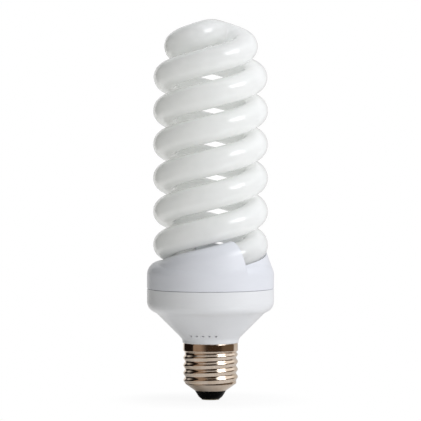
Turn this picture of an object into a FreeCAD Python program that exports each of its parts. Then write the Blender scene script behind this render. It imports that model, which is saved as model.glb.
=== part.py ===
import FreeCAD
import Part

import math
import os

# Spiral lamp with built-in ballast and an E27 screw cap. Millimetres, +Z from the cap to the glass.
# The origin is on the axis at the face of the centre contact. The front of the lamp faces -Y.

V = FreeCAD.Vector
ORIGIN = V(0, 0, 0)
UP = V(0, 0, 1)

# Glass spiral
tube_radius = 6.4
coil_pitch = 31.92  # climb of one strand in one turn
mouth_turn = 1216.0  # degrees from the crown to the mouth of the socket
socket_turn = 66.0  # degrees of turn that the socket covers
tube_end_turn = 62.0  # degrees of turn from the mouth to the sealed end
crossing_heading = -120.1  # direction from the axis in which the first strand leaves it
bridge_opening = 59.7  # degrees of turn over which a strand swings out from the axis
bridge_rounding = 18.6  # degrees of turn over which the crown straightens and levels off
crown_offset = 0.5  # how far the crown sits beside the axis
crown_offset_turn = 88.0  # degrees of turn over which that fades
path_step = 15.0  # degrees between points of the tube's path

# Upper housing
body_radius = 30.25
cover_height = 13.1
wall = 1.8
shoulder_radius = 6.7
mouth_rise = 2.44  # of the tube's centre at the mouth, above the flat top of the cover
horn_wall = 1.6
horn_setback = 1.3  # from the cylinder of the body in to the horn's crest
horn_draft = 11.5  # degrees that the outer flank of a horn leans out
horn_inner_draft = 4.0
horn_depth = 9.5  # from the tube's centre down to the foot of the horn
horn_turn = 110.0  # degrees of turn that a horn runs back into the dome
sleeve_wall = 1.4  # of the socket inside the cover
sleeve_setback = 2.0  # degrees that it starts behind the mouth
socket_clearance = 0.2
channel_clearance = 0.6
channel_turn = 64.0  # degrees of turn over which the tube leaves the cover
mouth_overlap = 0.3  # degrees that the channel reaches back into the mouth
cradle_turn = 62.0
cradle_lip = 34.0  # degrees below the horizontal at which the cradle lets go of the tube
cradle_draft = 20.0
cradle_depth = 8.0
cradle_lip_width = 1.5
cradle_inner_edge = (1.0, -3.0)  # across and up, from the tube's centre and from the lip
cement_start_turn = 50.0
cement_turn = 10.0
cement_thickness = 0.6
cement_clearance = 0.05
post_width = 2.4
post_depth = 2.6
post_angles = (-22.0, 22.0, 158.0, 202.0)

# Seam between the housings
seam_gap = 0.2
seam_bevel = 0.25
lip_height = 2.8
lip_wall = 1.35
lip_clearance = 0.12

# Lower housing
body_height = 6.3  # of the plain cylinder below the seam
corner_radius = 5.3
underside_slope = 27.0  # degrees
shoulder_height = 6.9  # from the top of the cone to the cylinder
shoulder_step = 5.85  # from the cylinder in to the top of the cone
cone_slope = 45.0
neck_radius = 13.3
neck_blend = 4.0
rib_count = 4
rib_width = 2.0
rib_reach = 3.4
rib_start = 45.0
vent_radius = 0.6
vent_count = 5
vent_ring_radius = 15.5
vent_step = 11.55
vent_centre = -103.3  # heading of the middle hole, degrees from +X
spigot_step = 0.6
spigot_wall = 1.2
spigot_length = 3.7
spigot_tail_length = 5.0
spigot_clearance = 0.1

# Screw cap
collar_radius = 13.1
collar_top = 27.24
collar_length = 4.3
shell_sheet = 0.3
thread_crest_radius = 13.05
thread_root_radius = 12.25
thread_pitch = 3.629
thread_bottom = 7.7
thread_fade = 1.8  # length over which the thread runs out at each end
thread_columns = 48
thread_rows_per_turn = 12
cap_lap = 0.3  # overlap of the bodies that the shell is made from
cap_cone_height = 4.4
cap_hole_radius = 7.6
collar_bevel = 0.25

# Insulator and contact
insulator_clearance = 0.05
insulator_foot_radius = 4.5
insulator_waist_radius = 5.7
insulator_waist_height = 1.4
insulator_top = 6.4
wire_hole_radius = 1.05
contact_radius = 4.2
contact_sheet = 0.4
dimple_radius = 1.7
dimple_depth = 0.5
dimple_floor_radius = 0.8
eyelet_radius = 0.6
solder_recess = 0.05
solder_gap = 0.02

# Circuit board
board_thickness = 1.6
board_drop = 2.2  # from the seam down to the upper face of the board
board_clearance = 0.35
leg_radius = 0.3
leg_hole_radius = 0.45
leg_stub = 0.9
leg_root = 1.0  # length of a leg inside its component
seat_gap = 0.05

# Choke under the board
choke_centre = (-9.7, 0.0)
core_length = 15.6
core_width = 18.8
core_height = 4.8
core_leg = 4.6
core_window_length = 11.0
core_window_width = 4.7
bobbin_gap = 0.1
bobbin_wall = 0.8
bobbin_flange = 1.0
bobbin_width = 13.6
bobbin_height = 11.6
winding_width = 12.4
winding_height = 10.4
winding_rounding = 1.8

# Components that hang from the board
smoothing_radius = 6.25
smoothing_length = 20.0
smoothing_centre = (5.0, 0.0)
smoothing_groove = 0.5
smoothing_rounding = 0.5
smoothing_leg_pitch = 5.0
smoothing_seat = 0.3
transistor_size = (8.0, 3.2, 10.6)
transistor_leg_length = 1.9
transistor_leg_pitch = 2.3
transistor_reach = 14.8
transistor_chamfer = 0.5
transistor_hole_radius = 1.6
transistor_hole_height = 3.4  # above the lower edge
transistor_headings = (48.0, -48.0)
film_sizes = ((12.5, 5.0, 9.0), (9.0, 4.4, 7.5))
film_places = ((17.4, 90.0), (18.6, -74.0))
film_leg_share = 0.6
film_rounding = 1.1
drum_radius = 4.0
drum_waist_radius = 3.4
drum_height = 8.5
drum_flange = 1.1
drum_centre = (-5.5, -15.5)
drum_leg_pitch = 5.0
ring_outer = 5.0
ring_inner = 2.7
ring_height = 4.4
ring_centre = (-12.2, 15.2)
ring_drop = 1.0
ring_edge = 0.4
winding_wire = 0.45
winding_groups = 3
winding_turns = 4
winding_step = 17.0  # degrees
diode_radius = 1.35
diode_length = 5.2
diode_span = 8.6
diode_count = 4
diode_spacing = 3.2
diode_row_start = 13.5
resistor_radius = 1.15
resistor_length = 6.2
resistor_span = 9.4
resistor_places = ((20.5, 180.0), (23.6, 180.0), (22.2, -125.0), (22.0, -35.0), (22.0, 35.0))
trigger_radius = 0.95
trigger_length = 4.0
trigger_span = 7.0
trigger_place = (22.5, 63.0)
lying_lift = 0.25  # gap between the board and a component that lies along it
lead_bend = 0.8

# Wires
lead_wire_radius = 0.3
lead_wire_spread = 2.0
lead_wire_reach = 3.6
lead_wire_bend = 0.8
lead_wire_gap = 0.2
lead_wire_foot = 3.2  # height above the board of the wire's upper end at its pin
lead_wire_tip = 0.6
pin_side = 0.8
pin_height = 4.6
pin_ring_radius = 24.4
pin_beyond = 9.5  # degrees from the tube's end to the middle of its two pins
pin_spread = 4.5  # degrees either side of that
supply_wire_radius = 0.65
supply_hole_clearance = 0.3
wire_bend = 1.8
fuse_radius = 1.8
fuse_length = 9.0
fuse_rounding = 0.5
fuse_bottom = 13.0
fuse_lead_radius = 0.4
fuse_lead_bottom = 0.6
fuse_lead_top = 23.5
live_wire_place = (1.2, -11.8)  # where it comes up through the board
live_wire_bends = ((1.0, -10.0, -17.0), (0.4, -4.6, -24.0))  # heights are from the board
live_wire_join = 2.3  # above the upper lead of the fuse resistor
neutral_wire_place = (1.2, 11.8)
neutral_wire_bends = ((1.2, 9.8, -18.0), (1.2, 9.4, -27.0))
neutral_wire_turn = (1.2, 9.3, 16.6)
neutral_wire_end = (11.5, 82.5, 14.9)  # radius, heading and height of the end at the shell
supply_wire_drop = 6.0  # straight length of a supply wire under the board

# Heights from the cap to the crown
collar_bottom = collar_top - collar_length
cone_top_radius = body_radius - shoulder_step
cone_tilt = math.radians(cone_slope)
blend_top_radius = neck_radius + neck_blend * (1 - math.cos(cone_tilt))
blend_top_height = collar_top + neck_blend * math.sin(cone_tilt)
cone_top_height = blend_top_height + (cone_top_radius - blend_top_radius) * math.tan(cone_tilt)
corner_height = cone_top_height + shoulder_height
seam_height = corner_height + body_height
board_top = seam_height - board_drop
board_underside = board_top - board_thickness
cover_top = seam_height + cover_height
mouth_height = cover_top + mouth_rise

# Radii from the wall inwards
horn_radius = tube_radius + horn_wall
coil_radius = body_radius - horn_setback - horn_radius
sleeve_radius = tube_radius + sleeve_wall
cement_radius = tube_radius + cement_thickness
inner_radius = body_radius - wall
lip_outer_radius = inner_radius - lip_clearance
lip_inner_radius = lip_outer_radius - lip_wall
board_radius = lip_inner_radius - board_clearance


def supply_wire_points(place, bends):
    """A supply wire from above the board straight down through it and on to its bends."""
    points = [V(place[0], place[1], board_top + leg_stub)]
    points.append(V(place[0], place[1], board_top - supply_wire_drop))
    return points + [V(x, y, board_top + drop) for x, y, drop in bends]


def polar(radius, heading, height=0.0):
    """A point at a radius from the axis and a heading in degrees from +X."""
    angle = math.radians(heading)
    return V(radius * math.cos(angle), radius * math.sin(angle), height)


def cylinder(radius, height, base=ORIGIN, direction=UP):
    return Part.makeCylinder(radius, height, base, direction)


def block(centre, size):
    """A box with its centre at a point."""
    corner = V(centre[0] - size[0] / 2, centre[1] - size[1] / 2, centre[2] - size[2] / 2)
    return Part.makeBox(size[0], size[1], size[2], corner)


def turned(shape, heading):
    """A copy of a shape turned about the lamp's axis."""
    copy = shape.copy()
    copy.rotate(ORIGIN, UP, heading)
    return copy


def moved(shape, offset):
    copy = shape.copy()
    copy.translate(offset)
    return copy


def line(start, end):
    return Part.LineSegment(V(start[0], 0, start[1]), V(end[0], 0, end[1])).toShape()


def arc(centre, radius, first, last):
    """An arc in the half plane of radius and height, between two angles in degrees."""
    points = []
    for angle in (first, (first + last) / 2, last):
        turn = math.radians(angle)
        points.append(V(centre[0] + radius * math.cos(turn), 0, centre[1] + radius * math.sin(turn)))
    return Part.Arc(*points).toShape()


def revolved(edges):
    """A solid of revolution about the axis from the edges of a closed outline."""
    outline = Part.Wire(Part.__sortEdges__(edges))
    return Part.Face(outline).revolve(ORIGIN, UP, 360)


def revolved_outline(points):
    edges = [line(a, b) for a, b in zip(points, points[1:] + points[:1])]
    return revolved(edges)


# Path of the glass tube

def wound(turn):
    """The angle that a strand has wound by a turn. It starts slowly, which straightens the crown."""
    return math.hypot(turn, bridge_rounding) - bridge_rounding


def strand_point(turn, strand):
    """A point of the tube's centre line, for a turn counted in degrees down from the crown.

    The strand winds and falls in proportion, so its height is a true helix. Near the crown the
    winding starts slowly, so that both strands cross the axis in one straight, level line.
    """
    radius = coil_radius * (1 - math.exp(-turn / bridge_opening))
    heading = crossing_heading - wound(turn) + 180.0 * strand
    height = mouth_height + coil_pitch / 360.0 * (wound(mouth_turn) - wound(turn))
    beside = crown_offset * math.exp(-(turn / crown_offset_turn) ** 2)
    return polar(radius, heading, height) + V(beside, 0, 0)


def strand_direction(turn, strand):
    """The direction in which a strand climbs."""
    small = 0.01
    return (strand_point(turn - small, strand) - strand_point(turn + small, strand)).normalize()


def strand_path(first, last, strand):
    """The centre line between two turns of one strand, as one edge."""
    count = max(4, math.ceil(abs(last - first) / path_step))
    points = [strand_point(first + (last - first) * i / count, strand) for i in range(count + 1)]
    curve = Part.BSplineCurve()
    curve.interpolate(points)
    return Part.Wire([curve.toShape()])


def swept(path, section):
    """A section carried along a path, kept upright."""
    sweep = Part.BRepOffsetAPI.MakePipeShell(path)
    sweep.setBiNormalMode(UP)
    sweep.add(section)
    sweep.build()
    sweep.makeSolid()
    return sweep.shape()


def section_frame(turn, strand):
    """The outward and upward directions of the section across a strand, and its centre."""
    centre = strand_point(turn, strand)
    along = strand_direction(turn, strand)
    outward = V(centre.x, centre.y, 0).normalize()
    upward = outward.cross(along).normalize()
    if upward.z < 0:
        upward = upward * -1
    return centre, outward, upward, along


def ring_wire(turn, strand, radius):
    centre, _, _, along = section_frame(turn, strand)
    return Part.Wire([Part.makeCircle(radius, centre, along)])


def strand_rod(first, last, strand, radius):
    """A round bar along a stretch of a strand."""
    return swept(strand_path(first, last, strand), ring_wire(first, strand, radius))


def spiral_tube():
    end_turn = mouth_turn + tube_end_turn
    count = math.ceil(end_turn / path_step)
    turns = [end_turn * i / count for i in range(count, 0, -1)]
    points = [strand_point(turn, 0) for turn in turns]
    points.append(strand_point(0, 0))
    points += [strand_point(turn, 1) for turn in reversed(turns)]
    curve = Part.BSplineCurve()
    curve.interpolate(points)
    path = Part.Wire([curve.toShape()])
    return path.makePipeShell([ring_wire(end_turn, 0, tube_radius)], True, False)


# Upper housing

def dome(inset, bottom, top):
    """The plain dome without horns: a cylinder with a rounded shoulder."""
    rounding = shoulder_radius - inset
    centre = (body_radius - shoulder_radius, cover_top - shoulder_radius)
    side = body_radius - inset
    return revolved([
        line((0, bottom), (side, bottom)),
        line((side, bottom), (side, centre[1])),
        arc(centre, rounding, 0, 90),
        line((centre[0], top), (0, top)),
        line((0, top), (0, bottom)),
    ])


def horn_section(turn, strand):
    """An arch over the tube with flanks that lean out towards the shoulder."""
    centre, outward, upward, _ = section_frame(turn, strand)

    def at(across, up):
        return centre + outward * across + upward * up

    outer = math.radians(horn_draft)
    inner = math.radians(180.0 - horn_inner_draft)
    outer_top = (horn_radius * math.cos(outer), horn_radius * math.sin(outer))
    inner_top = (horn_radius * math.cos(inner), horn_radius * math.sin(inner))
    outer_foot = (outer_top[0] + (horn_depth + outer_top[1]) * math.tan(outer), -horn_depth)
    inner_lean = math.tan(math.radians(horn_inner_draft))
    inner_foot = (inner_top[0] - (horn_depth + inner_top[1]) * inner_lean, -horn_depth)
    crest = Part.Arc(at(*outer_top), at(0, horn_radius), at(*inner_top)).toShape()
    inner_flank = Part.LineSegment(at(*inner_top), at(*inner_foot)).toShape()
    foot = Part.LineSegment(at(*inner_foot), at(*outer_foot)).toShape()
    outer_flank = Part.LineSegment(at(*outer_foot), at(*outer_top)).toShape()
    return Part.Wire([crest, inner_flank, foot, outer_flank])


def cradle_section(turn, strand):
    """A bank under the outer side of the tube."""
    centre, outward, upward, _ = section_frame(turn, strand)
    lip = math.radians(-cradle_lip)
    reach = tube_radius + channel_clearance
    slope = math.tan(math.radians(cradle_draft))
    lip_point = (reach * math.cos(lip), reach * math.sin(lip))
    foot = (lip_point[0] + slope * cradle_depth, lip_point[1] - cradle_depth)
    inner_edge, inner_rise = cradle_inner_edge
    corners = [
        (lip_point[0] - cradle_lip_width, lip_point[1]),
        lip_point,
        foot,
        (inner_edge, foot[1]),
        (inner_edge, lip_point[1] + inner_rise),
    ]
    points = [centre + outward * x + upward * y for x, y in corners]
    return Part.makePolygon(points + points[:1])


def tube_cover():
    envelope = cylinder(body_radius, 2 * cover_height, V(0, 0, seam_height))
    horn_path = strand_path(mouth_turn, mouth_turn + horn_turn, 1)
    horn = swept(horn_path, horn_section(mouth_turn, 1)).common(envelope)
    cradle_path = strand_path(mouth_turn, mouth_turn - cradle_turn, 1)
    cradle = swept(cradle_path, cradle_section(mouth_turn, 1)).common(envelope)
    outer = dome(0, seam_height, cover_top).fuse([horn, turned(horn, 180), cradle])

    hollow = dome(wall, seam_height - 1, cover_top - wall)
    sleeve_end = mouth_turn + socket_turn
    sleeve = strand_rod(mouth_turn + sleeve_setback, sleeve_end, 1, sleeve_radius)
    bore = strand_rod(mouth_turn - 1, sleeve_end + 5, 1, tube_radius + socket_clearance)
    cement_start = mouth_turn + cement_start_turn
    pocket = strand_rod(cement_start, sleeve_end + 6, 1, cement_radius + cement_clearance)
    channel_start = mouth_turn + mouth_overlap
    channel = strand_rod(channel_start, mouth_turn - channel_turn, 1, tube_radius + channel_clearance)

    cover = outer.cut(hollow).fuse([sleeve, turned(sleeve, 180)])
    hollows = [bore, pocket, channel]
    cover = cover.cut(hollows + [turned(cut, 180) for cut in hollows])
    posts = []
    post_bottom = board_top + seat_gap
    post_top = cover_top - wall / 2
    room = dome(wall / 2, post_bottom, post_top)
    for heading in post_angles:
        middle = (board_radius - post_depth / 2, 0, (post_bottom + post_top) / 2)
        post = block(middle, (post_depth, post_width, post_top - post_bottom))
        posts.append(turned(post, heading).common(room))
    cover = cover.fuse(posts)
    bevel = revolved_outline([
        (body_radius - seam_bevel, seam_height),
        (body_radius + 1, seam_height - 1),
        (body_radius + 1, seam_height + seam_bevel + 1),
    ])
    return cover.cut(bevel).removeSplitter()


def tube_cement():
    """A ring of cement around each end of the tube, in the pocket of its socket."""
    first = mouth_turn + cement_start_turn + cement_clearance
    body = strand_rod(first, first + cement_turn, 1, cement_radius)
    core = strand_rod(first - 1, first + cement_turn + 1, 1, tube_radius + cement_clearance)
    ring = body.cut(core)
    return Part.makeCompound([ring, turned(ring, 180)])


# Lower housing

def housing_profile(inset):
    """The wall from the seam to the neck, moved inwards by a distance, as edges and its two ends."""
    corner_centre = (body_radius - corner_radius, corner_height)
    corner_end = -(90.0 - underside_slope)
    radius = corner_radius - inset
    turn = math.radians(corner_end)
    slope_start = (corner_centre[0] + radius * math.cos(turn), corner_centre[1] + radius * math.sin(turn))
    slope = math.tan(math.radians(underside_slope))
    steep = math.tan(math.radians(cone_slope))
    cone_shift = inset / math.cos(math.radians(cone_slope))
    # where the underside meets the cone
    meet_radius = slope_start[1] - slope * slope_start[0] - cone_top_height - cone_shift
    meet_radius = (meet_radius + steep * cone_top_radius) / (steep - slope)
    meet = (meet_radius, slope_start[1] + slope * (meet_radius - slope_start[0]))
    neck_centre = (neck_radius + neck_blend, collar_top)
    blend = neck_blend + inset
    blend_top = (neck_centre[0] - blend * math.cos(cone_tilt), neck_centre[1] + blend * math.sin(cone_tilt))
    side = body_radius - inset
    edges = [
        line((side, seam_height - seam_gap), (side, corner_height)),
        arc(corner_centre, radius, 0, corner_end),
        line(slope_start, meet),
        line(meet, blend_top),
        arc(neck_centre, blend, 180.0 - cone_slope, 180.0),
    ]
    return edges, (side, seam_height - seam_gap), (neck_radius - inset, collar_top)


def closed_on_axis(profile):
    edges, top, bottom = profile
    return revolved(edges + [
        line(top, (0, top[1])),
        line((0, top[1]), (0, bottom[1])),
        line((0, bottom[1]), bottom),
    ])


def cone_height(radius, inset=0.0):
    """The height of the cone's surface at a radius."""
    rise = inset / math.cos(cone_tilt)
    return cone_top_height - (cone_top_radius - radius) * math.tan(cone_tilt) + rise


def vents():
    """Two groups of round holes through the cone, front and back."""
    holes = []
    for index in range(vent_count):
        heading = vent_centre + (index - (vent_count - 1) / 2) * vent_step
        surface = polar(vent_ring_radius, heading, cone_height(vent_ring_radius))
        out = polar(math.sin(cone_tilt), heading, -math.cos(cone_tilt))
        hole = cylinder(vent_radius, 4 * wall, surface - out * 3 * wall, out)
        holes += [hole, turned(hole, 180)]
    return holes


def ballast_housing():
    outer = closed_on_axis(housing_profile(0))
    inner = closed_on_axis(housing_profile(wall))
    overrun = 1.0
    rim = seam_height - seam_gap
    mouth = cylinder(inner_radius, overrun, V(0, 0, rim - overrun / 2))
    shell = outer.cut([inner, mouth])

    foot = rim - 2 * wall
    lip = revolved_outline([
        (lip_inner_radius, seam_height + lip_height),
        (lip_outer_radius, seam_height + lip_height),
        (lip_outer_radius, rim),
        (inner_radius + wall / 2, rim),
        (inner_radius + wall / 2, foot),
        (inner_radius - seat_gap, foot),
        (lip_inner_radius, foot + lip_wall),
    ])
    spigot_top = collar_top + wall / 2
    spigot_radius = collar_radius - shell_sheet - spigot_clearance
    tail_radius = thread_root_radius - shell_sheet - spigot_clearance
    spigot_bottom = collar_top - spigot_length
    inside = neck_radius - wall
    spigot = revolved_outline([
        (inside, spigot_top),
        (spigot_radius, spigot_top),
        (spigot_radius, spigot_bottom),
        (tail_radius, spigot_bottom - spigot_step),
        (tail_radius, spigot_bottom - spigot_tail_length),
        (tail_radius - spigot_wall, spigot_bottom - spigot_tail_length),
        (tail_radius - spigot_wall, spigot_bottom - spigot_step),
        (inside, spigot_bottom + spigot_step),
    ])
    ribs = []
    bottom = corner_height - corner_radius
    for index in range(rib_count):
        rib = block((inner_radius - rib_reach / 2 + wall / 2, 0, (bottom + board_underside) / 2),
                    (rib_reach + wall, rib_width, board_underside - bottom))
        ribs.append(turned(rib, rib_start + 360.0 / rib_count * index).common(outer))
    housing = shell.fuse([lip, spigot] + ribs)
    bevel = revolved_outline([
        (body_radius - seam_bevel, rim),
        (body_radius + 1, rim + 1),
        (body_radius + 1, rim - seam_bevel - 1),
    ])
    return housing.cut(vents() + [bevel]).removeSplitter()


# Screw cap

def thread_radius(height, heading, inset):
    """The rolled wave of a right-handed knuckle thread, which fades out at both ends."""
    low = thread_bottom
    high = collar_bottom + collar_bevel
    fade = min(1.0, (height - low) / thread_fade, (high - height) / thread_fade)
    fade = 0.5 - 0.5 * math.cos(math.pi * max(0.0, fade))
    wave = 0.5 + 0.5 * math.cos(2 * math.pi * height / thread_pitch - math.radians(heading))
    return thread_root_radius - inset + (thread_crest_radius - thread_root_radius) * wave * fade


def threaded_bar(inset):
    """A closed bar whose side is the thread's surface."""
    low = thread_bottom
    high = collar_bottom + collar_bevel
    rows = math.ceil((high - low) / thread_pitch * thread_rows_per_turn)
    grid = []
    for column in range(thread_columns + 1):
        heading = 360.0 * column / thread_columns
        heights = [low + (high - low) * row / rows for row in range(rows + 1)]
        grid.append([polar(thread_radius(z, heading, inset), heading, z) for z in heights])
    surface = Part.BSplineSurface()
    surface.interpolate(grid)
    side = surface.toShape()
    ends = []
    for height in (low, high):
        level = [edge for edge in side.Edges if edge.BoundBox.ZLength < 1e-3]
        rim = [edge for edge in level if abs(edge.BoundBox.ZMax - height) < 1e-3]
        ends.append(Part.Face(Part.Wire(rim)))
    return Part.makeSolid(Part.makeShell([side] + ends))


def cap_sink(inset):
    """How far the slanted bottom of the shell moves up when its surface moves in by a distance."""
    run = thread_root_radius - cap_hole_radius
    return inset * math.hypot(run, thread_bottom - cap_cone_height) / run


def cap_blank(inset):
    """Collar, thread and turned-in bottom as one closed body."""
    root = thread_root_radius - inset
    collar = revolved_outline([
        (0, collar_bottom),
        (root + collar_bevel, collar_bottom),
        (collar_radius - inset, collar_bottom + 2 * collar_bevel),
        (collar_radius - inset, collar_top),
        (0, collar_top),
    ])
    sink = cap_sink(inset)
    cone = revolved_outline([
        (0, cap_cone_height + sink),
        (cap_hole_radius, cap_cone_height + sink),
        (root + cap_lap / 2, thread_bottom + sink),
        (root + cap_lap / 2, thread_bottom + sink + cap_lap),
        (0, thread_bottom + sink + cap_lap),
    ])
    return threaded_bar(inset).fuse([collar, cone])


def screw_shell():
    outer = cap_blank(0)
    inner = cap_blank(shell_sheet)
    through = cylinder(cap_hole_radius, cap_cone_height * 2)
    top = cylinder(collar_radius - shell_sheet, 2.0, V(0, 0, collar_top - 1))
    return outer.cut([inner, through, top]).removeSplitter()


def cap_insulator():
    """Glass that fills the bottom of the shell and carries the contact."""
    gap = insulator_clearance
    slope = (thread_bottom - cap_cone_height) / (thread_root_radius - cap_hole_radius)
    sink = cap_sink(shell_sheet + gap)
    neck = cap_hole_radius - gap
    seat_height = cap_cone_height + sink - slope * gap
    top_radius = cap_hole_radius + (insulator_top - cap_cone_height - sink) / slope
    return revolved_outline([
        (wire_hole_radius, contact_sheet + dimple_depth + seat_gap),
        (wire_hole_radius, insulator_top),
        (top_radius, insulator_top),
        (neck, seat_height),
        (neck, cap_cone_height),
        (insulator_waist_radius, insulator_waist_height),
        (insulator_foot_radius, contact_sheet),
        (dimple_radius + seat_gap, contact_sheet),
    ])


def centre_contact():
    """A disc with a dimple and an eyelet for the supply lead."""
    sheet = contact_sheet
    return revolved_outline([
        (contact_radius, 0),
        (contact_radius, sheet),
        (dimple_radius, sheet),
        (dimple_floor_radius + sheet / 2, dimple_depth + sheet),
        (eyelet_radius, dimple_depth + sheet),
        (eyelet_radius, dimple_depth),
        (dimple_floor_radius, dimple_depth),
        (dimple_radius, 0),
    ])


def contact_solder():
    """Solder that fills the dimple and holds the end of the supply lead."""
    gap = solder_gap
    slope = (dimple_radius - dimple_floor_radius) / dimple_depth
    blob = revolved_outline([
        (0, solder_recess),
        (dimple_radius - slope * solder_recess - gap, solder_recess),
        (dimple_floor_radius - gap, dimple_depth - gap),
        (eyelet_radius - gap, dimple_depth - gap),
        (eyelet_radius - gap, dimple_depth + contact_sheet),
        (0, dimple_depth + contact_sheet),
    ])
    lead = cylinder(fuse_lead_radius + gap, 2.0, V(0, 0, fuse_lead_bottom - gap))
    return blob.cut(lead)


# Circuit board and what hangs from it

def bent_path(points, bend):
    """Straight runs joined by tangent arcs of one radius."""
    edges = []
    start = points[0]
    for before, corner, after in zip(points, points[1:], points[2:]):
        back = (before - corner).normalize()
        ahead = (after - corner).normalize()
        half = back.getAngle(ahead) / 2
        inward = (back + ahead).normalize()
        first = corner + back * (bend / math.tan(half))
        last = corner + ahead * (bend / math.tan(half))
        middle = corner + inward * (bend / math.sin(half) - bend)
        edges.append(Part.LineSegment(start, first).toShape())
        edges.append(Part.Arc(first, middle, last).toShape())
        start = last
    edges.append(Part.LineSegment(start, points[-1]).toShape())
    return Part.Wire(edges)


def wire(points, radius, bend):
    section = Part.Wire([Part.makeCircle(radius, points[0], points[1] - points[0])])
    return bent_path(points, bend).makePipeShell([section], True, False)


def leg(place, bottom, radius=leg_radius):
    """A straight leg from a component up through the board."""
    return cylinder(radius, board_top + leg_stub - bottom, V(place[0], place[1], bottom))


def rounded_block(centre, size, rounding):
    """A box with rounded upright edges."""
    solid = block(centre, size)
    upright = [edge for edge in solid.Edges if abs(edge.tangentAt(edge.FirstParameter).z) > 0.99]
    return solid.makeFillet(rounding, upright)


def lying_component(place, heading, radius, length, span):
    """A component with axial leads that lies under the board, and the places of its two leads."""
    level = board_underside - lying_lift - radius
    middle = V(place[0], place[1], level)
    along = polar(1, heading)
    ends = [middle - along * (span / 2), middle + along * (span / 2)]
    tops = [V(end.x, end.y, board_top + leg_stub) for end in ends]
    lead = wire([tops[0], ends[0], ends[1], tops[1]], leg_radius, lead_bend)
    body = cylinder(radius, length, middle - along * (length / 2), along)
    body = body.makeFillet(0.3 * radius, body.Edges[0:1] + body.Edges[2:3])
    return body.fuse(lead), [(end.x, end.y) for end in ends]


def gathered(items):
    """Components and their lead places, as one compound and one list."""
    solids = [solid for solid, _ in items]
    places = [place for _, group in items for place in group]
    return Part.makeCompound(solids), places


def rectifier_diodes():
    items = []
    for index in range(diode_count):
        place = (diode_row_start + diode_spacing * index, 0)
        items.append(lying_component(place, 90, diode_radius, diode_length, diode_span))
    return gathered(items)


def resistors():
    items = []
    for reach, heading in resistor_places:
        spot = polar(reach, heading)
        place = (spot.x, spot.y)
        items.append(lying_component(place, heading + 90, resistor_radius, resistor_length, resistor_span))
    return gathered(items)


def trigger_diode():
    spot = polar(*trigger_place)
    across = trigger_place[1] + 90
    return lying_component((spot.x, spot.y), across, trigger_radius, trigger_length, trigger_span)


def choke_middle():
    return V(choke_centre[0], choke_centre[1], board_underside - seat_gap - bobbin_height / 2)


def choke_core():
    """Two E-shaped ferrite halves glued into one, with a leg through the bobbin."""
    middle = choke_middle()
    core = block(middle, (core_length, core_width, core_height))
    offset = core_leg / 2 + core_window_width / 2
    window = (core_window_length, core_window_width, 2 * core_height)
    windows = [block(middle + V(0, side * offset, 0), window) for side in (-1, 1)]
    return core.cut(windows)


def choke_bobbin():
    middle = choke_middle()
    length = core_window_length - 2 * bobbin_gap
    inside = core_leg + 2 * bobbin_gap
    high_inside = core_height + 2 * bobbin_gap
    tube = block(middle, (length, inside + 2 * bobbin_wall, high_inside + 2 * bobbin_wall))
    offset = (length - bobbin_flange) / 2
    flange = (bobbin_flange, bobbin_width, bobbin_height)
    flanges = [block(middle + V(side * offset, 0, 0), flange) for side in (-1, 1)]
    bore = block(middle, (core_length, inside, high_inside))
    return tube.fuse(flanges).cut(bore)


def choke_winding():
    middle = choke_middle()
    length = core_window_length - 2 * (bobbin_gap + bobbin_flange + bobbin_gap)
    coil = block(middle, (length, winding_width, winding_height))
    lengthways = [edge for edge in coil.Edges if abs(edge.tangentAt(edge.FirstParameter).x) > 0.99]
    coil = coil.makeFillet(winding_rounding, lengthways)
    inside = 2 * (bobbin_wall + 2 * bobbin_gap)
    return coil.cut(block(middle, (core_length, core_leg + inside, core_height + inside)))


def smoothing_capacitor():
    """A can with a crimped groove near its sealed end, which hangs into the neck."""
    x, y = smoothing_centre
    top = board_underside - smoothing_seat
    radius = smoothing_radius
    groove = smoothing_groove
    edge = smoothing_rounding
    can = revolved_outline([
        (0, top - edge),
        (radius - 3 * edge, top - edge),
        (radius - 2 * edge, top),
        (radius - edge, top),
        (radius, top - edge),
        (radius, top - 5 * edge),
        (radius - groove, top - 6 * edge),
        (radius - groove, top - 7 * edge),
        (radius, top - 8 * edge),
        (radius, top - smoothing_length + edge),
        (radius - edge, top - smoothing_length),
        (0, top - smoothing_length),
    ])
    places = [(x, y - smoothing_leg_pitch / 2), (x, y + smoothing_leg_pitch / 2)]
    return moved(can, V(x, y, 0)).fuse([leg(place, top - leg_root) for place in places]), places


def power_transistor():
    """A flat moulded package with a screw hole and three legs, on the +X side."""
    wide, thick, tall = transistor_size
    top = board_underside - transistor_leg_length
    body = block((transistor_reach, 0, top - tall / 2), (thick, wide, tall))
    outer_edges = [edge for edge in body.Edges if edge.BoundBox.XMin > transistor_reach]
    body = body.makeChamfer(transistor_chamfer, outer_edges)
    hole_start = V(transistor_reach - 2 * thick, 0, top - tall + transistor_hole_height)
    hole = cylinder(transistor_hole_radius, 4 * thick, hole_start, V(1, 0, 0))
    places = [(transistor_reach, i * transistor_leg_pitch) for i in (-1, 0, 1)]
    return body.cut(hole).fuse([leg(place, top - leg_root) for place in places]), places


def turned_item(item, heading):
    """A component and its lead places, turned about the lamp's axis."""
    solid, places = item
    spots = [polar(math.hypot(x, y), heading + math.degrees(math.atan2(y, x))) for x, y in places]
    return turned(solid, heading), [(spot.x, spot.y) for spot in spots]


def power_transistors():
    return gathered([turned_item(power_transistor(), heading) for heading in transistor_headings])


def film_capacitors():
    items = []
    for (wide, thick, tall), (reach, heading) in zip(film_sizes, film_places):
        top = board_underside - seat_gap
        body = rounded_block((reach, 0, top - tall / 2), (thick, wide, tall), film_rounding)
        places = [(reach, -wide / 2 * film_leg_share), (reach, wide / 2 * film_leg_share)]
        solid = body.fuse([leg(place, top - leg_root) for place in places])
        items.append(turned_item((solid, places), heading))
    return gathered(items)


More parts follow.
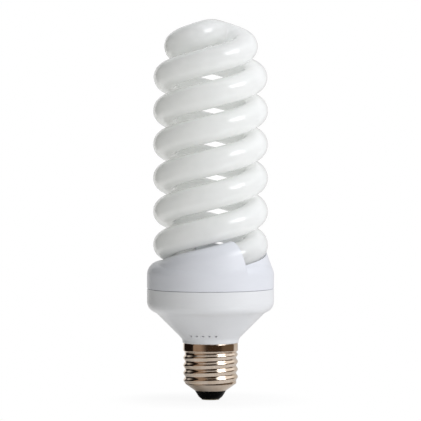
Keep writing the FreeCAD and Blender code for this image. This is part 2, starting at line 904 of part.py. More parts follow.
def filter_choke():
    """A ferrite drum with its winding between two flanges."""
    x, y = drum_centre
    top = board_underside - seat_gap
    drum = revolved_outline([
        (0, top),
        (drum_radius, top),
        (drum_radius, top - drum_flange),
        (drum_waist_radius, top - drum_flange),
        (drum_waist_radius, top - drum_height + drum_flange),
        (drum_radius, top - drum_height + drum_flange),
        (drum_radius, top - drum_height),
        (0, top - drum_height),
    ])
    places = [(x - drum_leg_pitch / 2, y), (x + drum_leg_pitch / 2, y)]
    return moved(drum, V(x, y, 0)).fuse([leg(place, top - drum_flange / 2) for place in places]), places


def ring_section(spare):
    """The outline across the drive ring, moved outwards by a distance."""
    top = board_underside - ring_drop
    return [
        (ring_inner - spare, top + spare),
        (ring_outer + spare, top + spare),
        (ring_outer + spare, top - ring_height - spare),
        (ring_inner - spare, top - ring_height - spare),
    ]


def drive_ring():
    ring = revolved_outline(ring_section(0))
    return moved(ring.makeChamfer(ring_edge, ring.Edges), V(ring_centre[0], ring_centre[1], 0))


def drive_windings():
    """Groups of wire turns around the ring. The last turn of a group runs up through the board."""
    band = revolved_outline(ring_section(winding_wire + seat_gap))
    band = band.cut(revolved_outline(ring_section(seat_gap)))
    centre = V(ring_centre[0], ring_centre[1], 0)
    turns = []
    places = []
    for group in range(winding_groups):
        for index in range(winding_turns):
            heading = 360.0 / winding_groups * group + winding_step * index
            slab = block((ring_outer, 0, board_underside - ring_drop - ring_height / 2),
                         (2 * ring_outer, winding_wire, 2 * ring_height))
            solid = band.common(slab)
            if index == 0:
                place = (ring_outer + seat_gap + winding_wire / 2, 0)
                solid = solid.fuse(leg(place, board_underside - ring_drop, winding_wire / 2))
                spot = polar(place[0], heading) + centre
                places.append((spot.x, spot.y))
            turns.append(moved(turned(solid, heading), centre))
    return Part.makeCompound(turns), places


def pin_places():
    """Where the wrap pins stand, two beside each end of the tube."""
    end = strand_point(mouth_turn + tube_end_turn, 1)
    heading = math.degrees(math.atan2(end.y, end.x)) - pin_beyond
    headings = [heading + turn + side * pin_spread for turn in (0, 180) for side in (-1, 1)]
    return [polar(pin_ring_radius, heading) for heading in headings]


def wrap_pins():
    bottom = board_underside - leg_stub
    length = board_top + pin_height - bottom
    size = (pin_side, pin_side, length)
    return Part.makeCompound([block((spot.x, spot.y, bottom + length / 2), size) for spot in pin_places()])


def lead_in_wires():
    """Two wires from each end of the tube to the sides of its pins."""
    end_turn = mouth_turn + tube_end_turn
    centre, outward, _, along = section_frame(end_turn, 1)
    away = along * -1
    pins = pin_places()[:2]
    wires = []
    for side, pin in zip((-1, 1), pins):
        start = centre + outward * (side * lead_wire_spread)
        bend = start + away * lead_wire_reach
        beside = V(pin.x, pin.y, 0).normalize() * (pin_side / 2 + lead_wire_radius + lead_wire_gap)
        foot = V(pin.x, pin.y, board_top + lead_wire_foot) - beside
        tip = V(foot.x, foot.y, board_top + lead_wire_tip)
        wires.append(wire([start, bend, foot, tip], lead_wire_radius, lead_wire_bend))
    return Part.makeCompound(wires + [turned(lead, 180) for lead in wires])


def fuse_resistor():
    """A fusible resistor on the axis, with its lower lead down to the contact."""
    body = cylinder(fuse_radius, fuse_length, V(0, 0, fuse_bottom))
    body = body.makeFillet(fuse_rounding, body.Edges[0:1] + body.Edges[2:3])
    lead = cylinder(fuse_lead_radius, fuse_lead_top - fuse_lead_bottom, V(0, 0, fuse_lead_bottom))
    return body.fuse(lead)


def live_wire():
    points = supply_wire_points(live_wire_place, live_wire_bends)
    points += [V(0, 0, fuse_lead_top + live_wire_join), V(0, 0, fuse_lead_top)]
    return wire(points, supply_wire_radius, wire_bend)


def neutral_wire():
    points = supply_wire_points(neutral_wire_place, neutral_wire_bends)
    points += [V(*neutral_wire_turn), polar(*neutral_wire_end)]
    return wire(points, supply_wire_radius, wire_bend)


def circuit_board(leg_places):
    board = cylinder(board_radius, board_thickness, V(0, 0, board_underside))
    deep = 3 * board_thickness
    bottom = board_underside - board_thickness
    holes = [cylinder(leg_hole_radius, deep, V(x, y, bottom)) for x, y in leg_places]
    for x, y in (live_wire_place, neutral_wire_place):
        holes.append(cylinder(supply_wire_radius + supply_hole_clearance, deep, V(x, y, bottom)))
    pin_hole = pin_side + 2 * seat_gap
    holes += [block((spot.x, spot.y, board_top), (pin_hole, pin_hole, deep)) for spot in pin_places()]
    return board.cut(holes)


def build():
    os.makedirs("parts", exist_ok=True)
    with_legs = {
        "smoothing_capacitor": smoothing_capacitor(),
        "power_transistors": power_transistors(),
        "film_capacitors": film_capacitors(),
        "filter_choke": filter_choke(),
        "drive_windings": drive_windings(),
        "rectifier_diodes": rectifier_diodes(),
        "resistors": resistors(),
        "trigger_diode": trigger_diode(),
    }
    leg_places = [place for _, places in with_legs.values() for place in places]
    pieces = {
        "spiral_tube": spiral_tube(),
        "tube_cover": tube_cover(),
        "tube_cement": tube_cement(),
        "ballast_housing": ballast_housing(),
        "screw_shell": screw_shell(),
        "cap_insulator": cap_insulator(),
        "centre_contact": centre_contact(),
        "contact_solder": contact_solder(),
        "circuit_board": circuit_board(leg_places),
        "choke_core": choke_core(),
        "choke_bobbin": choke_bobbin(),
        "choke_winding": choke_winding(),
        "drive_ring": drive_ring(),
        "wrap_pins": wrap_pins(),
        "lead_in_wires": lead_in_wires(),
        "fuse_resistor": fuse_resistor(),
        "live_wire": live_wire(),
        "neutral_wire": neutral_wire(),
    }
    pieces.update({name: shape for name, (shape, _) in with_legs.items()})
    for name, shape in pieces.items():
        shape.exportStep("parts/" + name + ".step")
        print(name, "solids", len(shape.Solids), "valid", shape.isValid(), "volume", round(shape.Volume, 1))


build()
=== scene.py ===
import math

import bmesh
import bpy
import numpy as np
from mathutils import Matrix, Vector


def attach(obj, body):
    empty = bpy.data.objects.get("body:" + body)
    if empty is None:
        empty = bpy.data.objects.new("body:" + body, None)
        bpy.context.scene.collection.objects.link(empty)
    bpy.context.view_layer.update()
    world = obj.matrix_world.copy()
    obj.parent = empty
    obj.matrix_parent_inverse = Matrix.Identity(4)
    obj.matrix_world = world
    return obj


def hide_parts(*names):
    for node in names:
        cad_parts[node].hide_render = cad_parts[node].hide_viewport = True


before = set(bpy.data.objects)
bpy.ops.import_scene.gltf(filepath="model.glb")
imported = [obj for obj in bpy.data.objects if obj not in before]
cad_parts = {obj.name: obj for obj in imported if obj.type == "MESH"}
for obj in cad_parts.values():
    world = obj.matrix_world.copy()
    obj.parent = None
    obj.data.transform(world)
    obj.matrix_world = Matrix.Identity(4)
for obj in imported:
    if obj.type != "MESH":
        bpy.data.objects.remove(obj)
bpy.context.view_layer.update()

# Spiral lamp with built-in ballast, standing on its cap. Metres; the front faces -Y.

# Glass spiral
TUBE_RADIUS = 0.00639
COIL_RADIUS = 0.02095
COIL_PITCH = 0.03192
MOUTH_HEIGHT = 0.06874
MOUTH_TURN = 1216.0
TUBE_END_TURN = 62.0
CROSSING_HEADING = -120.1
BRIDGE_OPENING = 59.7
BRIDGE_ROUNDING = 18.6
CROWN_OFFSET = 0.0005
CROWN_OFFSET_TURN = 88.0
TUBE_END_ROUNDING = 0.0015
NEXT_TO_NOTHING = 0.00001
TUBE_SECTIONS = 1101
TUBE_COLUMNS = 56

# Housings
BODY_RADIUS = 0.03025
CYLINDER_TOLERANCE = 0.00001
LEVEL_TOLERANCE = 0.05
JOINED_WITHIN = 2e-6

# Screw cap
COLLAR_RADIUS = 0.0131
COLLAR_BOTTOM = 0.02294
COLLAR_TOP = 0.02724
COLLAR_BEVEL = 0.00025
SHELL_SHEET = 0.0003
THREAD_CREST = 0.01305
THREAD_ROOT = 0.01225
THREAD_PITCH = 0.003629
THREAD_BOTTOM = 0.0077
THREAD_FADE = 0.0018
CAP_CONE_HEIGHT = 0.0044
CAP_HOLE_RADIUS = 0.0076
INNER_SIDE_RISE = 1.2  # of the bottom's inner side over the outer one, in sheet thicknesses
SHELL_COLUMNS = 192
THREAD_ROWS = 132
# Outlines of the collar: how far in from its radius, and how far below its top or above its bottom
COLLAR_RIM = ((0.00024, 0.0), (0.0001, 0.0004), (0.0, 0.0009), (0.0, 0.0011), (0.0, 0.002))
COLLAR_FOOT = ((0.0, 0.0009), (0.00002, 0.0007), (0.0001, 0.00048), (0.00028, 0.00025), (0.00055, 0.0001))


# Meshes

def grid_faces(rows, columns, rows_close=False):
    """Quads between neighbouring rows and columns of a grid of points whose columns always close."""
    row = np.arange(rows if rows_close else rows - 1)[:, None]
    column = np.arange(columns)[None, :]
    following = (column + 1) % columns
    above = (row + 1) % rows
    corners = [
        row * columns + column, row * columns + following,
        above * columns + following, above * columns + column,
    ]
    spread = [np.broadcast_to(corner, (len(row), columns)) for corner in corners]
    return np.stack(spread, axis=-1).reshape(-1, 4)


def winding(turns):
    """The winding angle by a turn: a hyperbola that starts level."""
    return np.hypot(turns, BRIDGE_ROUNDING) - BRIDGE_ROUNDING


def strand_centres(turns):
    """The glass tube's centre line. The size of a turn is how far it is from the crown, and its sign picks
    the strand. The radius swings out as one minus an exponential, the height falls in proportion to the
    winding, and the crown sits a little beside the axis by a bell curve."""
    size = np.abs(turns)
    radius = COIL_RADIUS * (1 - np.exp(-size / BRIDGE_OPENING))
    heading = np.radians(CROSSING_HEADING - winding(size) + np.where(turns > 0, 180.0, 0.0))
    height = MOUTH_HEIGHT + COIL_PITCH / 360.0 * (winding(MOUTH_TURN) - winding(size))
    beside = CROWN_OFFSET * np.exp(-(size / CROWN_OFFSET_TURN) ** 2)
    return np.stack([radius * np.cos(heading) + beside, radius * np.sin(heading), height], axis=1)


def glass_spiral():
    """A round tube carried along the centre line. Its section turns about the tangent and the level normal,
    and its radius falls along a quarter circle at both sealed ends, which flat discs close."""
    reach = MOUTH_TURN + TUBE_END_TURN
    turns = np.linspace(-reach, reach, TUBE_SECTIONS)
    centres = strand_centres(turns)
    along = np.gradient(centres, axis=0)
    along /= np.linalg.norm(along, axis=1)[:, None]
    level = np.cross(along, (0.0, 0.0, 1.0))
    level /= np.linalg.norm(level, axis=1)[:, None]
    upward = np.cross(level, along)
    run = np.concatenate([[0.0], np.cumsum(np.linalg.norm(np.diff(centres, axis=0), axis=1))])
    to_end = np.minimum(run, run[-1] - run)
    inward = TUBE_END_ROUNDING - np.minimum(to_end, TUBE_END_ROUNDING)
    quarter = np.sqrt(np.maximum(TUBE_END_ROUNDING ** 2 - inward ** 2, 0.0))
    radius = TUBE_RADIUS - TUBE_END_ROUNDING + quarter
    radius[0] = radius[-1] = NEXT_TO_NOTHING
    around = np.linspace(0.0, 2 * math.pi, TUBE_COLUMNS, endpoint=False)[None, :, None]
    ring = np.cos(around) * level[:, None, :] + np.sin(around) * upward[:, None, :]
    points = (centres[:, None, :] + radius[:, None, None] * ring).reshape(-1, 3)
    first_pole, last_pole = len(points), len(points) + 1
    here = np.arange(TUBE_COLUMNS)
    following = (here + 1) % TUBE_COLUMNS
    last = len(points) - TUBE_COLUMNS
    first_cap = np.stack([following, here, np.full(TUBE_COLUMNS, first_pole)], axis=1)
    last_cap = np.stack([last + here, last + following, np.full(TUBE_COLUMNS, last_pole)], axis=1)
    faces = grid_faces(TUBE_SECTIONS, TUBE_COLUMNS).tolist() + first_cap.tolist() + last_cap.tolist()
    return closed_piece("glass_spiral", np.concatenate([points, centres[:1], centres[-1:]]), faces)


def closed_piece(name, points, faces, sharp_degrees=None):
    """A closed surface whose faces are turned to point outwards, shaded smooth except over sharp edges."""
    mesh = bpy.data.meshes.new(name)
    mesh.from_pydata(points.tolist(), [], faces)
    shell = bmesh.new()
    shell.from_mesh(mesh)
    bmesh.ops.remove_doubles(shell, verts=shell.verts, dist=1e-7)
    bmesh.ops.recalc_face_normals(shell, faces=shell.faces)
    shell.to_mesh(mesh)
    shell.free()
    mesh.shade_smooth()
    if sharp_degrees:
        mesh.set_sharp_from_angle(angle=math.radians(sharp_degrees))
    piece = bpy.data.objects.new(name, mesh)
    bpy.context.scene.collection.objects.link(piece)
    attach(piece, "root")
    return piece


def thread_radius(height, heading, inset):
    """Root radius plus a cosine wave that climbs one pitch in a turn and fades out in a half cosine at both
    ends."""
    high = COLLAR_BOTTOM + COLLAR_BEVEL
    from_end = np.minimum(height - THREAD_BOTTOM, high - height)
    fade = 0.5 - 0.5 * np.cos(math.pi * np.clip(from_end / THREAD_FADE, 0.0, 1.0))
    wave = 0.5 + 0.5 * np.cos(2 * math.pi * height / THREAD_PITCH - heading)
    return THREAD_ROOT - inset + (THREAD_CREST - THREAD_ROOT) * wave * fade


def rolled_shell():
    """Sheet metal cap: collar, thread and turned-in bottom, as one closed sheet. Each side is a list of rows
    of equal height. The thread's rows take their radius from the wave, and the others are plain rings."""
    heading = np.linspace(0.0, 2 * math.pi, SHELL_COLUMNS, endpoint=False)[None, :]
    thread_heights = np.linspace(COLLAR_BOTTOM - 0.0002, THREAD_BOTTOM + 0.0003, THREAD_ROWS)

    def side(inset):
        rim = COLLAR_RADIUS - inset
        root = THREAD_ROOT - inset
        rise = inset * INNER_SIDE_RISE
        collar = [(rim - inward, COLLAR_TOP - below) for inward, below in COLLAR_RIM]
        collar += [(rim - inward, COLLAR_BOTTOM + above) for inward, above in COLLAR_FOOT]
        bottom = [
            (root, THREAD_BOTTOM + rise * 0.4),
            (root - 0.0003, THREAD_BOTTOM - 0.0002 + rise),
            (root - 0.0008, THREAD_BOTTOM - 0.00057 + rise),
            (CAP_HOLE_RADIUS + 0.0004, CAP_CONE_HEIGHT + 0.00028 + rise),
            (CAP_HOLE_RADIUS, CAP_CONE_HEIGHT + rise),
        ]
        rows = [(np.full_like(heading, radius), height) for radius, height in collar]
        rows += [(thread_radius(height, heading, inset), height) for height in thread_heights]
        rows += [(np.full_like(heading, radius), height) for radius, height in bottom]
        return rows

    rows = side(0.0) + side(SHELL_SHEET)[::-1]
    radius = np.concatenate([row[0] for row in rows])
    height = np.broadcast_to(np.array([row[1] for row in rows])[:, None], radius.shape)
    points = np.stack([radius * np.cos(heading), radius * np.sin(heading), height], axis=-1)
    faces = grid_faces(len(rows), SHELL_COLUMNS, rows_close=True).tolist()
    return closed_piece("rolled_shell", points.reshape(-1, 3), faces, sharp_degrees=50.0)


def round_the_body(mesh):
    """Where a face lies on the body's cylinder, its corners take the cylinder's own directions."""
    points = np.empty(len(mesh.vertices) * 3)
    mesh.vertices.foreach_get("co", points)
    points = points.reshape(-1, 3)
    radius = np.hypot(points[:, 0], points[:, 1])
    corners = np.empty(len(mesh.loops), int)
    mesh.loops.foreach_get("vertex_index", corners)
    triangles = corners.reshape(-1, 3)
    level = np.array([polygon.normal.z for polygon in mesh.polygons])
    on_cylinder = np.abs(radius[triangles] - BODY_RADIUS).max(axis=1) < CYLINDER_TOLERANCE
    on_body = on_cylinder & (np.abs(level) < LEVEL_TOLERANCE)
    normals = np.empty(len(mesh.loops) * 3)
    mesh.corner_normals.foreach_get("vector", normals)
    normals = normals.reshape(-1, 3)
    chosen = np.repeat(on_body, 3)
    out = points[corners[chosen]]
    normals[chosen] = np.stack([out[:, 0], out[:, 1], np.zeros(len(out))], axis=1) / BODY_RADIUS
    mesh.normals_split_custom_set(normals.tolist())


def smoothed_copy(node, name, sharp_degrees):
    """A node's own surface with its triangles joined and shaded smooth, except over sharp edges."""
    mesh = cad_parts[node].data.copy()
    mesh.name = name
    shell = bmesh.new()
    shell.from_mesh(mesh)
    bmesh.ops.remove_doubles(shell, verts=shell.verts, dist=JOINED_WITHIN)
    shell.to_mesh(mesh)
    shell.free()
    mesh.shade_smooth()
    mesh.set_sharp_from_angle(angle=math.radians(sharp_degrees))
    mesh.materials.clear()
    round_the_body(mesh)
    piece = bpy.data.objects.new(name, mesh)
    bpy.context.scene.collection.objects.link(piece)
    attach(piece, "root")
    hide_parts(node)
    return piece


# Materials

class Field:
    """A number that varies over a surface. Arithmetic on it adds Math nodes."""

    def __init__(self, finish, socket):
        self.finish = finish
        self.socket = socket

    def maths(self, operation, first, second):
        return self.finish.node("ShaderNodeMath", {"operation": operation}, {0: first, 1: second})

    def __add__(self, other):
        return self.maths("ADD", self, other)

    __radd__ = __add__

    def __sub__(self, other):
        return self.maths("SUBTRACT", self, other)

    def __rsub__(self, other):
        return self.maths("SUBTRACT", other, self)

    def __mul__(self, other):
        return self.maths("MULTIPLY", self, other)

    __rmul__ = __mul__

    def ramp(self, low, high):
        """0 at low, 1 at high, and smooth between."""
        settings = {"interpolation_type": "SMOOTHSTEP"}
        return self.finish.node("ShaderNodeMapRange", settings, {0: self, 1: low, 2: high, 3: 0.0, 4: 1.0})

    def band(self, rise, fall):
        """Goes up from 0 to 1 over the first span and back to 0 over the second."""
        return self.ramp(*rise) * (1.0 - self.ramp(*fall))


class Finish:
    """The nodes of one material or of the world."""

    def __init__(self, tree):
        self.tree = tree

    def node(self, kind, settings=None, inputs=None, output=0):
        made = self.tree.nodes.new(kind)
        for name, value in (settings or {}).items():
            setattr(made, name, value)
        for name, value in (inputs or {}).items():
            self.feed(made.inputs[name], value)
        return Field(self, made.outputs[output])

    def feed(self, socket, value):
        if isinstance(value, Field):
            self.tree.links.new(value.socket, socket)
        else:
            socket.default_value = value

    def place(self, stretch=(1.0, 1.0, 1.0)):
        """Object coordinates, stretched along the axes."""
        here = self.node("ShaderNodeTexCoord", output=3)
        return self.node("ShaderNodeMapping", None, {"Vector": here, "Scale": stretch})

    def noise(self, per_metre, detail=2.0, stretch=(1.0, 1.0, 1.0)):
        """Smooth noise from 0 to 1, with its grain given as cells in a metre."""
        return self.node("ShaderNodeTexNoise", None, {
            "Vector": self.place(stretch), "Scale": per_metre, "Detail": detail, "Roughness": 0.55})

    def blend(self, mask, first, second):
        """The first colour where mask is 0 and the second where it is 1."""
        return self.node("ShaderNodeMix", {"data_type": "RGBA"}, {0: mask, 6: first, 7: second}, output=2)

    def bump(self, height, depth, strength=1.0):
        return self.node("ShaderNodeBump", None, {"Height": height, "Distance": depth, "Strength": strength})


def paint(red, green, blue):
    """A colour as it looks on a screen, 0 to 255, in the linear values that nodes use."""
    shares = np.array([red, green, blue]) / 255.0
    linear = np.where(shares <= 0.04045, shares / 12.92, ((shares + 0.055) / 1.055) ** 2.4)
    return (*linear.tolist(), 1.0)


def material(name, constants):
    """A new material with its main shader, whose constant sockets are set at once."""
    made = bpy.data.materials.new(name)
    made.use_nodes = True
    shader = made.node_tree.nodes["Principled BSDF"]
    for socket, value in constants.items():
        shader.inputs[socket].default_value = value
    return made, Finish(made.node_tree), shader.inputs


def coated_glass():
    """Clear glass over a white powder coat: the powder is matt and slightly cloudy, light scatters inside
    it, and the glass over it is smooth, with the faint long waves of drawn and bent tube."""
    made, finish, shader = material("coated_glass", {
        "Roughness": 0.7, "IOR": 1.45, "Specular IOR Level": 0.1,
        "Subsurface Weight": 1.0, "Subsurface Radius": (1.0, 1.0, 1.0), "Subsurface Scale": 0.045,
        "Emission Color": (1.0, 1.0, 0.95, 1.0), "Emission Strength": 0.078,  # painted glow: an even, slightly yellow glow on the unlit tube that lightens its shaded gaps and creases
        "Coat Weight": 1.0, "Coat Roughness": 0.03, "Coat IOR": 1.5, "Coat Tint": (0.985, 0.99, 0.988, 1.0),
    })
    cloud = finish.noise(55.0, 3.0)
    powder = finish.noise(900.0, 2.0)
    mask = cloud.ramp(0.35, 0.7) * 0.7 + powder * 0.3
    finish.feed(shader["Base Color"], finish.blend(mask, paint(248, 248, 247), paint(236, 238, 236)))
    waves = finish.noise(70.0, 1.0) + finish.noise(260.0, 1.0) * 0.12
    finish.feed(shader["Normal"], finish.bump(waves, 0.00022, 0.5))
    return made


def housing_plastic(name, tone):
    """Moulded white plastic: even, a little cool, satin, with a fine skin and very faint flow marks."""
    made, finish, shader = material(name, {
        "IOR": 1.5, "Specular IOR Level": 0.5, "Coat Weight": 0.15, "Coat Roughness": 0.12,
    })
    flow = finish.noise(38.0, 3.0, (1.0, 1.0, 2.4))
    speck = finish.noise(2600.0, 2.0)
    first = paint(*tone)
    second = paint(*[value - 6 for value in tone])
    finish.feed(shader["Base Color"], finish.blend(flow.ramp(0.3, 0.75) * 0.7 + speck * 0.3, first, second))
    finish.feed(shader["Roughness"], 0.3 + 0.1 * finish.noise(420.0, 3.0))
    finish.feed(shader["Normal"], finish.bump(speck + 2.2 * finish.noise(300.0, 2.0), 0.000012, 0.6))
    return made


def nickel_plate():
    """Bright nickel over rolled brass: warm, with fine lines round the shell, small dull patches and wear."""
    made, finish, shader = material("nickel_plate", {"Metallic": 1.0, "Coat Weight": 0.0})
    patch = finish.noise(160.0, 4.0)
    lines = finish.noise(90.0, 3.0, (1.0, 1.0, 60.0))
    wear = finish.noise(900.0, 3.0)
    finish.feed(shader["Base Color"], finish.blend(
        patch.ramp(0.42, 0.75) * 0.8, paint(237, 220, 203), paint(212, 190, 164)))
    finish.feed(shader["Roughness"], 0.05 + 0.06 * patch + 0.04 * wear)
    finish.feed(shader["Normal"], finish.bump(lines + 0.5 * wear, 0.000014, 0.7))
    return made


def black_glass():
    """Poured black glass: nearly smooth, with shallow flow waves and a few small pits."""
    made, finish, shader = material("black_glass", {"IOR": 1.52, "Specular IOR Level": 0.05})
    streak = finish.noise(420.0, 3.0)
    finish.feed(shader["Base Color"], finish.blend(streak.ramp(0.45, 0.8), paint(3, 3, 3), paint(9, 8, 8)))
    finish.feed(shader["Roughness"], 0.06 + 0.12 * streak)
    finish.feed(shader["Normal"], finish.bump(finish.noise(340.0, 2.0), 0.00006, 0.6))
    return made


def bare_metal(name, bright, dull, roughness):
    """Plain metal with dull patches and fine scratches."""
    made, finish, shader = material(name, {"Metallic": 1.0})
    patch = finish.noise(700.0, 4.0)
    scratch = finish.noise(500.0, 2.0, (1.0, 14.0, 3.0))
    finish.feed(shader["Base Color"], finish.blend(patch.ramp(0.4, 0.7), paint(*bright), paint(*dull)))
    finish.feed(shader["Roughness"], roughness + 0.16 * patch)
    finish.feed(shader["Normal"], finish.bump(scratch, 0.00001, 0.5))
    return made


def moulded(name, light, dark, roughness, grain, depth, stretch=(1.0, 1.0, 1.0)):
    """A dull or lacquered surface whose colour, gloss and relief follow one grain."""
    made, finish, shader = material(name, {"IOR": 1.5})
    coarse = finish.noise(grain, 4.0, stretch)
    fine = finish.noise(grain * 5.0, 2.0)
    finish.feed(shader["Base Color"], finish.blend(
        coarse.ramp(0.3, 0.7) * 0.75 + 0.25 * fine, paint(*light), paint(*dark)))
    finish.feed(shader["Roughness"], roughness + 0.15 * fine)
    finish.feed(shader["Normal"], finish.bump(coarse + 0.4 * fine, depth, 0.7))
    return made


WAVES_PER_SCALE = 0.05  # the wave texture has 20 waves in a metre at a scale of 1


def wound(name, light, dark, metallic, wires_per_metre, axis):
    """Turns of fine wire or tape: even ridges across one axis, darker between them."""
    made, finish, shader = material(name, {"Metallic": metallic, "Roughness": 0.35})
    settings = {"wave_type": "BANDS", "bands_direction": axis, "wave_profile": "SIN"}
    ridges = finish.node("ShaderNodeTexWave", settings, {
        "Vector": finish.place(), "Scale": wires_per_metre * WAVES_PER_SCALE, "Distortion": 0.3}, output=1)
    finish.feed(shader["Base Color"], finish.blend(ridges, paint(*dark), paint(*light)))
    finish.feed(shader["Normal"], finish.bump(ridges, 0.00006, 0.8))
    return made


def dress(piece, finish_material):
    """Gives a new piece its material."""
    piece.data.materials.clear()
    piece.data.materials.append(finish_material)


def dress_node(node, finish_material):
    """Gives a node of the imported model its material."""
    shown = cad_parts[node]
    if not shown.material_slots:
        shown.data.materials.append(finish_material)
    for slot in shown.material_slots:
        slot.material = finish_material


# The lamp's outside

spiral = glass_spiral()
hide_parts("spiral_tube")
dress(spiral, coated_glass())

cover = smoothed_copy("tube_cover", "cover_moulding", 32.0)
dress(cover, housing_plastic("cover_plastic", (235, 237, 243)))

housing = smoothed_copy("ballast_housing", "housing_moulding", 32.0)
dress(housing, housing_plastic("housing_plastic", (240, 241, 243)))

shell = rolled_shell()
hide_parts("screw_shell")
dress(shell, nickel_plate())

insulator = smoothed_copy("cap_insulator", "poured_insulator", 50.0)
dress(insulator, black_glass())

# The ballast inside

dress_node("centre_contact", bare_metal("contact_brass", (176, 166, 142), (140, 124, 94), 0.26))
dress_node("contact_solder", bare_metal("solder", (190, 190, 188), (150, 150, 150), 0.34))
dress_node("tube_cement", moulded("socket_cement", (226, 222, 210), (204, 198, 184), 0.8, 500.0, 0.0001))
dress_node("circuit_board", moulded("board_laminate", (196, 158, 96), (172, 132, 76), 0.5, 260.0, 0.00003))
ferrite = moulded("sintered_ferrite", (62, 62, 66), (40, 40, 44), 0.5, 700.0, 0.00005)
dress_node("choke_core", ferrite)
dress_node("drive_ring", ferrite)
dress_node("choke_bobbin", moulded("bobbin_plastic", (44, 44, 46), (30, 30, 32), 0.42, 600.0, 0.00003))
dress_node("choke_winding", wound("winding_tape", (226, 190, 74), (186, 146, 44), 0.0, 600.0, "Z"))
copper = wound("enamelled_copper", (196, 112, 62), (110, 52, 26), 0.9, 2400.0, "Z")
dress_node("drive_windings", copper)
dress_node("filter_choke", copper)
dress_node("smoothing_capacitor", moulded("shrunk_sleeve", (46, 50, 66), (32, 34, 48), 0.25, 300.0, 0.00003))
dress_node("film_capacitors", moulded("dipped_epoxy", (172, 70, 42), (138, 50, 30), 0.22, 420.0, 0.0001))
package = moulded("package_epoxy", (40, 40, 42), (24, 24, 26), 0.45, 1200.0, 0.00002)
dress_node("power_transistors", package)
dress_node("rectifier_diodes", package)
dress_node("resistors", moulded("resistor_lacquer", (206, 184, 142), (182, 156, 112), 0.3, 700.0, 0.00005))
dress_node("trigger_diode", moulded("trigger_glass", (74, 98, 172), (46, 66, 130), 0.15, 900.0, 0.00002))
tinned = bare_metal("tinned_wire", (200, 200, 198), (168, 168, 166), 0.28)
dress_node("wrap_pins", tinned)
dress_node("lead_in_wires", tinned)
dress_node("fuse_resistor", moulded("fuse_lacquer", (132, 160, 128), (104, 132, 104), 0.35, 700.0, 0.00005))
insulation = moulded("wire_insulation", (48, 48, 50), (34, 34, 36), 0.4, 800.0, 0.00002)
dress_node("live_wire", insulation)
dress_node("neutral_wire", insulation)


# Studio

FLOOR_RADIUS = 0.06
FLOOR_CORNERS = 96
FLOOR_DROP = 0.0002
EYE_DISTANCE = 1.85
EYE_HEIGHT = 0.1724
PIXELS_PER_METRE = 2100.0
FRAME_PIXELS = 421.0
AIM_HEIGHT = 0.0902
SOFTBOX_TARGET = 0.1
WHITE = (1.0, 1.0, 1.0, 1.0)


def camera_at_the_photo():
    """A long lens level with the crown, tilted down to the middle of the lamp."""
    made = bpy.data.cameras.new("camera")
    made.sensor_width = 36.0
    sight = math.hypot(EYE_DISTANCE, EYE_HEIGHT - AIM_HEIGHT)
    made.lens = made.sensor_width * sight / (FRAME_PIXELS / PIXELS_PER_METRE)
    made.clip_start = 0.05
    made.clip_end = 20.0
    camera = bpy.data.objects.new("camera", made)
    bpy.context.scene.collection.objects.link(camera)
    camera.location = (0.0, -EYE_DISTANCE, EYE_HEIGHT)
    sightline = Vector((0.0, 0.0, AIM_HEIGHT)) - camera.location
    camera.rotation_euler = sightline.to_track_quat("-Z", "Y").to_euler()
    bpy.context.scene.camera = camera


def softbox(name, heading, elevation, distance, size, power):
    """An oblong light at a heading from the front towards the right, in degrees, aimed at the lamp."""
    light = bpy.data.lights.new(name, "AREA")
    light.shape = "RECTANGLE"
    light.size, light.size_y = size
    light.energy = power
    turn, rise = math.radians(heading), math.radians(elevation)
    box = bpy.data.objects.new(name, light)
    bpy.context.scene.collection.objects.link(box)
    away = Vector((math.sin(turn) * math.cos(rise), -math.cos(turn) * math.cos(rise), math.sin(rise)))
    box.location = Vector((0.0, 0.0, SOFTBOX_TARGET)) + away * distance
    box.rotation_euler = (-away).to_track_quat("-Z", "Y").to_euler()


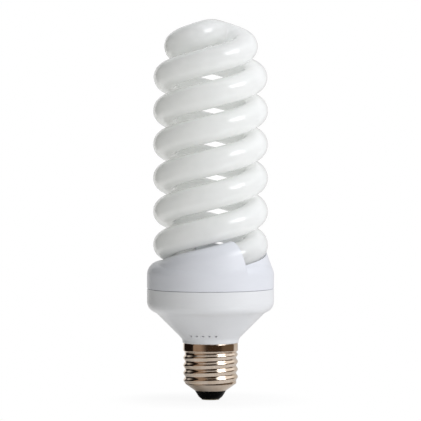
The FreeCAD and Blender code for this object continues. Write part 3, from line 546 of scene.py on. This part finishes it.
def studio_world():
    """White to the camera and through glass. Gloss sees the white backdrop behind the lamp, a pale ceiling
    with a brighter window and, level with the lamp, the dark room in front with its lit doorway and shelves.
    Headings are degrees from the front towards the right. Everything else gets soft, even light: dim from the
    left, stronger from the right, from the front, from straight behind and from the table."""
    world = bpy.data.worlds.new("studio")
    bpy.context.scene.world = world
    world.use_nodes = True
    finish = Finish(world.node_tree)
    background = world.node_tree.nodes["Background"]
    direction = finish.node("ShaderNodeTexCoord")
    across = finish.node("ShaderNodeSeparateXYZ", None, {0: direction})
    ahead, upward = [Field(finish, axis) for axis in list(across.socket.node.outputs)[1:]]
    seen = finish.node("ShaderNodeLightPath").socket.node.outputs
    camera_or_glass = Field(finish, seen["Is Camera Ray"]) + Field(finish, seen["Is Transmission Ray"])
    gloss = Field(finish, seen["Is Glossy Ray"])
    heading = across.maths("ARCTAN2", across, 0.0 - ahead) * math.degrees(1.0)

    low_wall = upward.band((-0.5, -0.35), (0.3, 0.5))
    high_wall = upward.band((-0.75, -0.6), (0.88, 0.97))
    in_front = (1.0 - heading.ramp(26.0, 38.0)) * heading.ramp(-150.0, -100.0)
    wall = low_wall + (high_wall - low_wall) * in_front
    window = heading.band((26.0, 38.0), (62.0, 78.0))
    doorway = heading.band((-80.0, -76.0), (-45.0, -10.0))
    shelves = heading.ramp(38.0, 60.0)
    backdrop = heading.ramp(112.0, 122.0) * 0.55 + (1.0 - heading.ramp(-150.0, -142.0)) * 0.85
    room = finish.blend(heading.ramp(-30.0, 0.0), (0.01, 0.006, 0.004, 1.0), (0.04, 0.023, 0.012, 1.0))
    room = finish.blend(doorway, room, (0.28, 0.21, 0.16, 1.0))
    room = finish.blend(shelves, room, (0.125, 0.088, 0.058, 1.0))
    ceiling = finish.blend(window, (0.95, 0.93, 0.91, 1.0), (1.6, 1.7, 1.75, 1.0))
    room = finish.blend(wall, ceiling, room)
    reflected = finish.blend(backdrop, room, WHITE)

    right = across.ramp(-1.0, 1.0)
    front = (0.35 * across - 0.92 * ahead).ramp(0.1, 0.9)
    behind = ahead.ramp(0.65, 1.0)
    below = (0.0 - upward).ramp(-0.1, 0.6)
    lit = finish.blend(right, (0.12, 0.119, 0.1, 1.0), (0.61, 0.63, 0.68, 1.0))
    lit = finish.blend(front * 0.5, lit, (1.0, 1.01, 1.03, 1.0))
    lit = finish.blend(behind * 0.7, lit, (1.0, 1.0, 0.985, 1.0))
    lit = finish.blend(below * 0.7, lit, (0.98, 0.97, 0.95, 1.0))

    shown = finish.blend(gloss, lit, reflected)
    shown = finish.blend(camera_or_glass, shown, WHITE)
    finish.feed(background.inputs["Color"], shown)


def pale_floor():
    """A white disc. The camera sees it fade to plain white away from the lamp, with a soft shadow left."""
    heading = np.linspace(0.0, 2 * math.pi, FLOOR_CORNERS, endpoint=False)
    level = np.full(FLOOR_CORNERS, -FLOOR_DROP)
    rim = np.stack([FLOOR_RADIUS * np.cos(heading), FLOOR_RADIUS * np.sin(heading), level], axis=1)
    mesh = bpy.data.meshes.new("floor")
    mesh.from_pydata(rim.tolist(), [], [list(range(FLOOR_CORNERS))])
    floor = bpy.data.objects.new("floor", mesh)
    bpy.context.scene.collection.objects.link(floor)
    made, finish, shader = material("pale_floor", {
        "Roughness": 0.6, "Specular IOR Level": 0.2, "Base Color": (0.93, 0.93, 0.93, 1.0)})
    finish.feed(shader["Roughness"], 0.55 + 0.1 * finish.noise(40.0))
    here = finish.node("ShaderNodeTexCoord", output=3)
    away = finish.node("ShaderNodeVectorMath", {"operation": "LENGTH"}, {0: here}, output=1)
    camera = Field(finish, finish.node("ShaderNodeLightPath").socket.node.outputs["Is Camera Ray"])
    fading = camera * (0.9 + 0.1 * away.ramp(0.02, 0.055))
    surface = Field(finish, made.node_tree.nodes["Principled BSDF"].outputs[0])
    white = finish.node("ShaderNodeEmission", None, {"Color": WHITE, "Strength": 1.0})
    shown = finish.node("ShaderNodeMixShader", None, {0: fading, 1: surface, 2: white})
    finish.feed(made.node_tree.nodes["Material Output"].inputs["Surface"], shown)
    mesh.materials.append(made)


camera_at_the_photo()
softbox("key_softbox", 55.0, 33.0, 1.2, (0.66, 0.52), 5.2)
studio_world()
pale_floor()
bpy.context.scene.view_settings.view_transform = "Standard"
